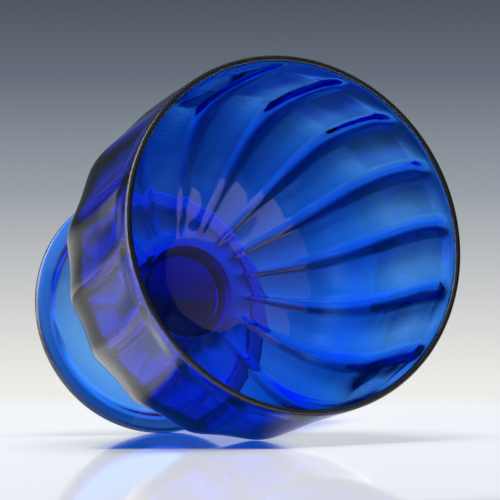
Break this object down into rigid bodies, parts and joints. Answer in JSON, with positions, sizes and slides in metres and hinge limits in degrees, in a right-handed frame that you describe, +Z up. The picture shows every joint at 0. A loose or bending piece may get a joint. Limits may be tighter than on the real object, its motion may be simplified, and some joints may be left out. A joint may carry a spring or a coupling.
{
  "type": "footed sugar bowl",
  "caption": "Deep round blown-glass bowl with moulded ribs, open at the top, on a short waisted stem and a wide foot with a folded edge; holds loose or lump sugar on a table.",
  "frame": {"origin": "centre of the ring under the foot, on the surface that the bowl stands on", "axes": "+Z up along the bowl's axis, out of its mouth; the bowl is round, so +X only marks the middle of one rib"},
  "size_m": [0.106, 0.106, 0.1125],
  "materials": {
    "blue_glass": "clear cobalt-blue blown glass, fire-polished and smooth"
  },
  "bodies": {
    "root": {"bowl": "blue_glass", "stem": "blue_glass", "foot": "blue_glass"}
  },
  "joints": []
}
